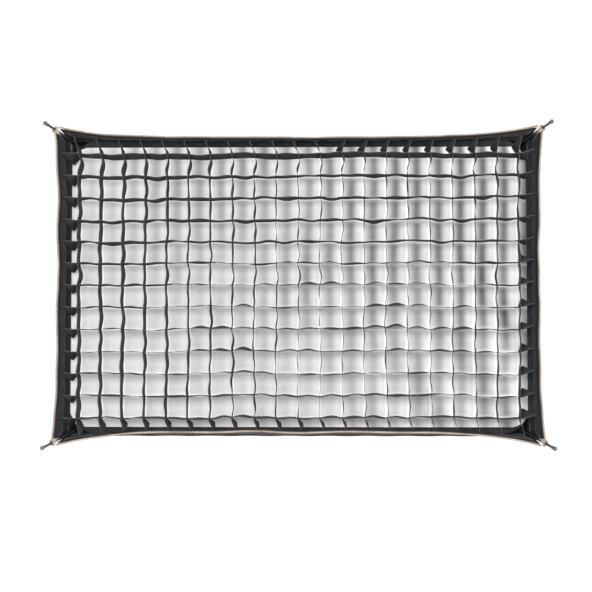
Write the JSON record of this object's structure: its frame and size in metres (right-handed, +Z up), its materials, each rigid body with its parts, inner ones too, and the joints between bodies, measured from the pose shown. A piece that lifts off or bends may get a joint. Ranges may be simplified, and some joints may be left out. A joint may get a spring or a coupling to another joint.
{
  "type": "rectangular softbox",
  "caption": "Rectangular rod-frame softbox with a fabric egg-crate grid, white diffuser and rotating speed ring.",
  "frame": {"origin": "centre of the lamp bore, at the adapter's rear face", "axes": "+Z up, +X along the long side of the opening, +Y out of the rear towards the lamp; the lit face looks towards -Y"},
  "size_m": [1.034, 0.5273, 0.6656],
  "materials": {
    "cast_aluminium": "satin, fine cast and turned",
    "turned_steel": "bright zinc plate",
    "black_steel": "satin black coat",
    "knob_plastic": "fine moulded grain",
    "pad_nylon": "smooth",
    "spring_rod": "dark drawn rod",
    "cap_plastic": "moulded",
    "black_cloth": "coated nylon, silver lined inside",
    "lip_cloth": "plain woven nylon",
    "binding": "ribbed binding tape",
    "tan_cord": "braided cord",
    "hook_tape": "hook and loop pile",
    "white_diffuser": "translucent ripstop cloth",
    "white_elastic": "ribbed elastic",
    "grid_cloth": "plain woven nylon"
  },
  "bodies": {
    "lamp_mount": {"adapter_insert": "turned_steel"},
    "softbox": {"speed_ring": "cast_aluminium", "retainer_ring": "black_steel", "retainer_screws": "turned_steel", "rod_top_left": "spring_rod", "rod_top_right": "spring_rod", "rod_bottom_left": "spring_rod", "rod_bottom_right": "spring_rod", "rod_ferrules": "turned_steel", "rod_tips": "cap_plastic", "rod_sleeves": "binding", "panel_top": "black_cloth", "panel_bottom": "black_cloth", "panel_left": "black_cloth", "panel_right": "black_cloth", "corner_seams": "binding", "rear_panel": "black_cloth", "collar_elastic": "binding", "lip_top": "lip_cloth", "lip_bottom": "lip_cloth", "lip_left": "lip_cloth", "lip_right": "lip_cloth", "edging_top": "tan_cord", "edging_bottom": "tan_cord", "edging_left": "tan_cord", "edging_right": "tan_cord", "corner_loops": "tan_cord", "lip_tape": "hook_tape", "front_diffuser": "white_diffuser", "diffuser_hem": "white_diffuser", "inner_baffle": "white_diffuser", "baffle_straps": "white_elastic", "baffle_snaps": "turned_steel", "grid_uprights": "grid_cloth", "grid_crosses": "grid_cloth", "grid_border": "hook_tape"},
    "lock_pad": {"lock_pad": "pad_nylon"},
    "lock_knob": {"lock_screw": "turned_steel", "lock_knob": "knob_plastic"}
  },
  "joints": [
    {"name": "box_rotation", "type": "hinge", "parent": "lamp_mount", "child": "softbox", "pos_m": [0, 0, 0], "axis": [0, 1, 0], "continuous": true},
    {"name": "pad_slide", "type": "slide", "parent": "softbox", "child": "lock_pad", "axis": [1, 0, 0], "range_m": [0, 0.0015]},
    {"name": "knob_turn", "type": "hinge", "parent": "lock_pad", "child": "lock_knob", "pos_m": [0.07, -0.015, 0], "axis": [1, 0, 0], "range_deg": [0, 540]}
  ],
  "couplings": [
    {"joint": "knob_turn", "follows": "pad_slide", "rad_per_m": 6283.2}
  ]
}
